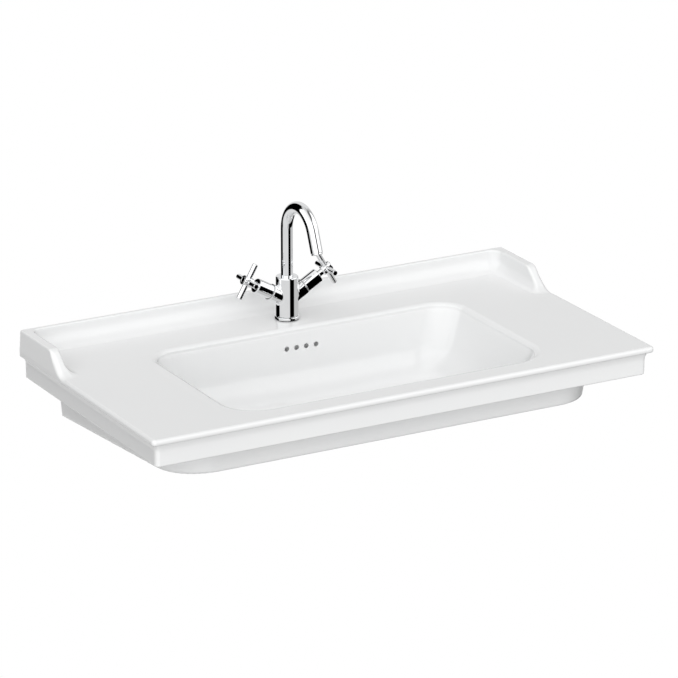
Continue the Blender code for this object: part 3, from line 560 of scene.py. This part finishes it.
def handle_hub(side):
    """The field of one hub: a drum on a short neck, bored for the spindle, the cap and four bars."""
    def field(x, y, z):
        along, across, level = along_arm(side, x, y, z)
        away = np.hypot(across, level)
        hub = common(away - HUB_R, np.abs(along - HUB_AT) - HUB_HALF, 1.6)
        hub = union(hub, np.maximum(away - NECK_R, between(along, BONNET[1] + 0.6, HUB_AT)), 0.5)
        hub = cut(hub, np.maximum(away - SPINDLE_R - GAP, along - HUB_BORE_END), 0.3)
        hub = cut(hub, np.maximum(away - CAP_R - GAP, HUB_AT + HUB_HALF - CAP_SOCKET - along), 0.4)
        for reach, other in ((across, level), (level, across)):
            bar = np.hypot(other, along - HUB_AT) - BAR_R - GAP
            hub = cut(hub, np.maximum(bar, BAR[0] - GAP - np.abs(reach)), 0.4)
        return hub
    return field


def spout_axis(run):
    """Centre line of the spout: straight up, over the bend and down the leaning leg."""
    rise, bend = SPOUT_BEND_Z - SPOUT_FOOT, SPOUT_BEND_R * (pi - SPOUT_TILT)
    angle = min(max(run - rise, 0) / SPOUT_BEND_R, pi - SPOUT_TILT)
    extra = min(run - rise, 0) + max(run - rise - bend, 0)
    tangent = Vector((0, -sin(angle), cos(angle)))
    centre = Vector((0, TAP[1] - SPOUT_BEND_R * (1 - cos(angle)), SPOUT_BEND_Z + SPOUT_BEND_R * sin(angle)))
    side = Vector((1, 0, 0))
    return centre + tangent * extra, side, tangent.cross(side)


SPOUT_LENGTH = SPOUT_BEND_Z - SPOUT_FOOT + SPOUT_BEND_R * (pi - SPOUT_TILT) + SPOUT_LEG


def ring(inner, outer, start, end):
    """Outline of a tube's wall."""
    return [(inner, start), (outer, start), (outer, end), (inner, end)]


def disc(radius, start, end, crown=0.0):
    return [(0, start), (radius, start), (radius, end), (0, end + crown)]


def make_tap_body():
    reach = high("tap_body") + 1.7
    grids = (even(-reach[0], reach[0], 1.05), even(low("tap_body")[1] - 1.3, reach[1], 1.05),
             even(low("tap_body")[2] - 1.3, reach[2], 1.05))
    belongs(sculpted("mixer_body", tap_body, grids, CHROME), "basin_assembly", "chrome", "tap_body")


def make_handle(side):
    body = side + "_handle"
    centre, axis = hinge(side)
    inward, outward, pitch = 21.3, 14.7, 0.75
    grids = [even(centre[k] - inward, centre[k] + outward, pitch) for k in range(3)]
    if side == "left":
        grids[0] = even(centre[0] - outward, centre[0] + inward, pitch)
    hub = sculpted(side + "_hub", handle_hub(side), grids, CHROME, 1.5)
    belongs(hub, body, "chrome", side + "_handle_hub")
    end = HUB_AT + HUB_HALF
    cap = rounded(disc(CAP_R, end - 2.7, end - 0.2, 0.5), 0.5)
    belongs(turned(side + "_cap", cap, arm_axis(side), CHROME), body, "chrome", side + "_handle_cap")
    lean = Vector((abs(axis.z), 0, -axis.x))
    for index, direction in enumerate((lean, Vector((0, 1, 0)), -lean, Vector((0, -1, 0)))):
        bar = rounded(disc(BAR_R, *BAR), [0, 0.4, 1.3, 0])
        obj = turned(f"{side}_bar_{index + 1}", bar, straight(centre, direction), CHROME, 64)
        belongs(obj, body, "chrome", f"{side}_handle_bar_{index + 1}")


def make_arm(side):
    axis = arm_axis(side)
    collar = rounded(ring(VALVE_R + GAP, ARM_R, *JOINT_RING), 0.3)
    belongs(turned(side + "_collar", collar, axis, CHROME), "basin_assembly", "chrome", side + "_joint_ring")
    start, end = BONNET
    sleeve = [(BONNET_BORE_R, start), (BONNET_R, start), (BONNET_R, end), (BONNET_NECK_R, end),
              (BONNET_NECK_R, BONNET_SHELF), (BONNET_BORE_R, BONNET_SHELF)]
    sleeve = rounded(sleeve, [0.2, 0.5, 2.0, 0.5, 0.1, 0.1])
    belongs(turned(side + "_sleeve", sleeve, axis, CHROME), "basin_assembly", "chrome", side + "_bonnet")


def make_spout():
    rise, bend_steps = SPOUT_BEND_Z - SPOUT_FOOT, 48
    bend = SPOUT_LENGTH - SPOUT_LEG - rise
    runs = [rise + bend * k / bend_steps for k in range(bend_steps + 1)]
    outer = [(SPOUT_R, run) for run in runs]
    inner = [(SPOUT_BORE_R, run) for run in reversed(runs)]
    foot = [(SPOUT_BORE_R, 0.0), (SPOUT_R, 0.0)]
    mouth = [(SPOUT_R, SPOUT_LENGTH), (SPOUT_BORE_R, SPOUT_LENGTH)]
    corners = [0.0, 0.3] + [0.0] * len(outer) + [0.7, 0.4] + [0.0] * len(inner)
    tube = rounded(foot + outer + mouth + inner, corners)
    belongs(turned("swan_neck", tube, spout_axis, CHROME), "swivel_spout", "chrome", "spout")
    end, _, _ = spout_axis(SPOUT_LENGTH)
    outlet = straight(end, (0, sin(SPOUT_TILT), cos(SPOUT_TILT)))
    housing = [(OUTLET_BORE_R, -OUTLET_LIP), (OUTLET_LIP_R, -OUTLET_LIP), (OUTLET_LIP_R, -GAP),
               (OUTLET_R, -GAP), (OUTLET_R, OUTLET_DEPTH), (OUTLET_BORE_R, OUTLET_DEPTH)]
    housing = rounded(housing, [0.3, 0.7, 0.1, 0.1, 0.2, 0.2])
    belongs(turned("aerator_ring", housing, outlet, CHROME), "swivel_spout", "chrome", "aerator_housing")


def make_base():
    centre = straight((TAP[0], TAP[1], 0), (0, 0, 1))
    foot, top = low("tap_base_ring")[2], high("tap_base_ring")[2]
    outline = rounded(ring(BASE_BORE_R, high("tap_base_ring")[0], foot, top), [0.2, 0.4, 1.6, 0.2])
    belongs(turned("base_collar", outline, centre, CHROME), "basin_assembly", "chrome", "tap_base_ring")


make_tap_body()
make_base()
make_spout()
for side in SIDES:
    make_arm(side)
    make_handle(side)


# ------------------------------------------------------------------ the waste
FLANGE_Z = high("waste_top_seal")[2] + GAP
FLANGE_R, FLANGE_HIGH = high("waste_body")[0], high("waste_body")[2] - FLANGE_Z
TAIL_R, TAIL_BORE_R, TAIL_Z = 20.8, 18.3, low("waste_body")[2]
DISH_R, DISH_LEAN, DISH_Z = 24.8, 0.95, FLANGE_Z + 1.1
THREAD_PITCH, THREAD_DEPTH, THREAD_FROM = 1.5, 0.5, (-150.0, -153.0)
SLOT_HALF, SLOT_Z = 7.0, (-146.5, -137.0)
BRIDGE_X, BRIDGE_Y, BRIDGE_Z = 19.2, 4.0, low("waste_clicker")[2] - GAP
PLUG_R, PLUG_Z = high("waste_plug")[0], low("waste_plug")[2]
PLUG_HIGH, PLUG_CROWN, PLUG_TURN = 5.2, 3.2, 0.39       # the crown is an arc of this half angle


def waste_body(x, y, z):
    """Dished flange, threaded tail with two overflow slots, and the bridge that holds the clicker."""
    radial = np.hypot(x, y - WASTE[1])
    flange = common(radial - FLANGE_R, between(z, FLANGE_Z, FLANGE_Z + FLANGE_HIGH), 1.4)
    dish = (radial - DISH_R) * cos(DISH_LEAN) - (z - DISH_Z) * sin(DISH_LEAN)
    flange = cut(flange, common(dish, DISH_Z - z, 0.8), 0.5)
    groove = THREAD_DEPTH / 2 * (1 - np.cos(2 * pi * z / THREAD_PITCH)) * fade(z, *THREAD_FROM)
    tail = common(radial - TAIL_R + groove, between(z, TAIL_Z, FLANGE_Z + 1.0), 0.6)
    body = cut(union(flange, tail, 0.2), radial - TAIL_BORE_R, 0.5)
    front, back = WASTE[1] - BRIDGE_Y, WASTE[1] + BRIDGE_Y
    bridge = block(x, y, z, (-BRIDGE_X, front, BRIDGE_Z - 3), (BRIDGE_X, back, BRIDGE_Z), 0.5)
    slot = common(np.abs(x) - SLOT_HALF, between(z, *SLOT_Z), 2.0)
    slot = np.maximum(slot, 15 - radial)
    return cut(union(body, bridge, 0.6), slot, 0.4)


def make_waste():
    reach = FLANGE_R + 1.2
    grids = (even(-reach, reach, 1.0), WASTE[1] + even(-reach, reach, 1.0),
             lines(TAIL_Z - 1.1, (-152.0, 0.36), (FLANGE_Z - 1.0, 1.2), (FLANGE_Z + FLANGE_HIGH + 0.9, 0.35)))
    fitting = sculpted("waste_fitting", waste_body, grids, CHROME, 1.0)
    belongs(fitting, "basin_assembly", "chrome", "waste_body")
    centre = straight((WASTE[0], WASTE[1], 0), (0, 0, 1))
    dome = []
    for angle in (PLUG_TURN, 0.33, 0.27, 0.21, 0.15, 0.09, 0.0):
        fall = PLUG_CROWN * (1 - cos(angle)) / (1 - cos(PLUG_TURN))
        dome.append((PLUG_R * sin(angle) / sin(PLUG_TURN), PLUG_Z + PLUG_HIGH - fall))
    outline = [(0, PLUG_Z), (PLUG_R - 0.8, PLUG_Z), (PLUG_R, PLUG_Z + 0.8)] + dome
    corners = [0, 0.4, 0.4, 1.0] + [0] * (len(dome) - 1)
    cap = turned("waste_cap", rounded(outline, corners), centre, CHROME)
    belongs(cap, "pop_up_plug", "chrome", "waste_plug")


make_waste()


# ------------------------------------------------------------------ fittings that keep their CAD shape
KEPT = {
    "brass": (BRASS, ("spout_tail", "tap_fixing_nut", "waste_backnut", "left_valve_body", "right_valve_body",
                      "left_spindle", "right_spindle")),
    "steel": (STEEL, ("tap_stud", "horseshoe_plate", "waste_spring", "waste_plug_stem")),
    "rubber": (RUBBER, ("tap_gasket", "horseshoe_gasket", "waste_top_seal", "waste_lower_seal",
                        "waste_plug_seal", "left_valve_seat", "right_valve_seat", "left_spindle_seal",
                        "right_spindle_seal", "spout_o_ring_1", "spout_o_ring_2", "aerator_seal")),
    "plastic": (PLASTIC, ("aerator_insert", "waste_clicker")),
    "alumina": (ALUMINA, ("left_valve_fixed_disc", "right_valve_fixed_disc", "left_valve_turning_disc",
                          "right_valve_turning_disc")),
}
for material, names in KEPT.values():
    for name in names:
        for place in frame["nodes"][name].material_slots:
            place.material = material


# ------------------------------------------------------------------ stage, light and camera
CAMERA_AZIMUTH = radians(-28.93)
CAMERA_LENS = 232.4
CAMERA_AT = Vector((-3.5554, -6.7019, 2.5656))
CAMERA_TARGET = Vector((0.011, -0.250, 0.0114))


def add_camera():
    data = bpy.data.cameras.new("camera")
    data.lens = CAMERA_LENS
    data.sensor_width = 36.0
    camera = bpy.data.objects.new("camera", data)
    bpy.context.scene.collection.objects.link(camera)
    camera.location = CAMERA_AT
    camera.rotation_euler = (CAMERA_TARGET - CAMERA_AT).to_track_quat("-Z", "Y").to_euler()
    bpy.context.scene.camera = camera


def add_floor():
    """A plain white studio floor, well below the basin."""
    size, level = 60.0, -1.2
    corners = [(-size, -size, level), (size, -size, level), (size, size, level), (-size, size, level)]
    mesh = bpy.data.meshes.new("studio_floor")
    mesh.from_pydata(corners, [], [(0, 1, 2, 3)])
    white = bpy.data.materials.new("studio_white")
    white.use_nodes = True
    nodes, links = white.node_tree.nodes, white.node_tree.links
    glow = nodes.new("ShaderNodeEmission")
    glow.inputs["Color"].default_value = (1, 1, 1, 1)
    links.new(glow.outputs["Emission"], nodes["Material Output"].inputs["Surface"])
    mesh.materials.append(white)
    floor = bpy.data.objects.new("studio_floor", mesh)
    bpy.context.scene.collection.objects.link(floor)
    floor.visible_glossy = False
    floor.visible_diffuse = False


# Each layer of the studio fades in between two elevations.  Its bands give the brightness from each
# angle on, in degrees to the right of the camera as seen in the picture.
STUDIO_LAYERS = [
    (-90, -90, [(-180, 0.75), (40, 0.60)]),
    (-54, -46, [(-180, 0.80), (15, 0.50), (40, 0.0), (165, 0.80)]),
    (-27, -22, [(-180, 0.80), (-150, 0.0), (-79, 0.77), (31, 0.0), (78, 0.58)]),
    (2, 12, [(-180, 0.80), (-150, 0.0), (-105, 1.5), (27, 0.0), (50, 1.5), (135, 0.5), (155, 0.80)]),
    (50, 62, [(-180, 0.70), (-120, 1.0), (30, 0.15), (150, 0.5)]),
]
BAND_EDGE = 0.004                       # half the blur between two bands, as a share of a full turn
SOFT_LIGHT, SOFT_TILT = 0.57, (-0.57, -0.72, 0.38)      # level, and how it grows towards a direction
SHADE, SHADE_SIDE = 0.55, (-0.60, 0.30, -0.74)          # depth of the shade low on the left, and its middle


class Graph:
    """The world's shader nodes, with one short call for each kind of node."""

    def __init__(self, tree):
        self.nodes, self.links = tree.nodes, tree.links

    def feed(self, socket, value):
        """Plugs in a socket, or sets a plain value."""
        if isinstance(value, bpy.types.NodeSocket):
            self.links.new(value, socket)
        else:
            socket.default_value = value

    def dot(self, direction, vector):
        node = self.nodes.new("ShaderNodeVectorMath")
        node.operation = "DOT_PRODUCT"
        self.feed(node.inputs[0], direction)
        self.feed(node.inputs[1], vector)
        return node.outputs["Value"]

    def maths(self, operation, first, second):
        node = self.nodes.new("ShaderNodeMath")
        node.operation = operation
        self.feed(node.inputs[0], first)
        self.feed(node.inputs[1], second)
        return node.outputs["Value"]

    def share(self, value, start, end, kind="LINEAR"):
        """How far value has come from start to end, from 0 to 1."""
        node = self.nodes.new("ShaderNodeMapRange")
        node.interpolation_type = kind
        node.inputs["From Min"].default_value = start
        node.inputs["From Max"].default_value = end
        self.feed(node.inputs["Value"], value)
        return node.outputs["Result"]

    def mix(self, factor, first, second):
        node = self.nodes.new("ShaderNodeMix")
        node.data_type = "RGBA"
        self.feed(node.inputs["Factor"], factor)
        self.feed(node.inputs[6], first)
        self.feed(node.inputs[7], second)
        return node.outputs[2]

    def bands(self, turn, stops):
        """Steps of grey from one angle to the next."""
        node = self.nodes.new("ShaderNodeValToRGB")
        elements = node.color_ramp.elements
        elements[0].position, elements[0].color = 0.0, grey(stops[0][1])
        elements[1].position, elements[1].color = 1.0, grey(stops[-1][1])
        for (_, before), (angle, after) in zip(stops, stops[1:]):
            at = angle / 360 + 0.5
            elements.new(at - BAND_EDGE).color = grey(before)
            elements.new(at + BAND_EDGE).color = grey(after)
        self.feed(node.inputs["Fac"], turn)
        return node.outputs["Color"]


def grey(level):
    return level, level, level, 1


def studio(graph, direction):
    """What the chrome mirrors: light walls with black flags, layer upon layer from the floor up."""
    toward = (sin(CAMERA_AZIMUTH), -cos(CAMERA_AZIMUTH), 0)
    right = (cos(CAMERA_AZIMUTH), sin(CAMERA_AZIMUTH), 0)
    angle = graph.maths("ARCTAN2", graph.dot(direction, right), graph.dot(direction, toward))
    turn = graph.share(angle, -pi, pi)
    height = graph.dot(direction, (0, 0, 1))
    seen = graph.bands(turn, STUDIO_LAYERS[0][2])
    for start, end, stops in STUDIO_LAYERS[1:]:
        risen = graph.share(height, sin(radians(start)), sin(radians(end)), "SMOOTHSTEP")
        seen = graph.mix(risen, seen, graph.bands(turn, stops))
    return seen


def soft_light(graph, direction):
    """Light from all round, stronger from the front, the left and above, and weak low on the left."""
    level = graph.maths("ADD", graph.dot(direction, SOFT_TILT), SOFT_LIGHT)
    low_left = graph.dot(direction, [-SHADE * part for part in SHADE_SIDE])
    shaded = graph.maths("ADD", level, graph.maths("MINIMUM", low_left, 0.0))
    return graph.maths("MAXIMUM", shaded, 0.0)


def add_light():
    """The glaze is lit by the soft light, shiny pieces mirror the studio, and the camera sees white."""
    world = bpy.data.worlds.new("studio")
    bpy.context.scene.world = world
    world.use_nodes = True
    graph = Graph(world.node_tree)
    direction = graph.nodes.new("ShaderNodeTexCoord").outputs["Generated"]
    ray = graph.nodes.new("ShaderNodeLightPath")
    soft, mirrored = soft_light(graph, direction), studio(graph, direction)
    light = graph.mix(ray.outputs["Is Glossy Ray"], soft, mirrored)
    light = graph.mix(ray.outputs["Is Camera Ray"], light, (1, 1, 1, 1))
    graph.feed(graph.nodes["Background"].inputs["Color"], light)


add_camera()
add_floor()
add_light()
bpy.context.scene.view_settings.view_transform = "Standard"
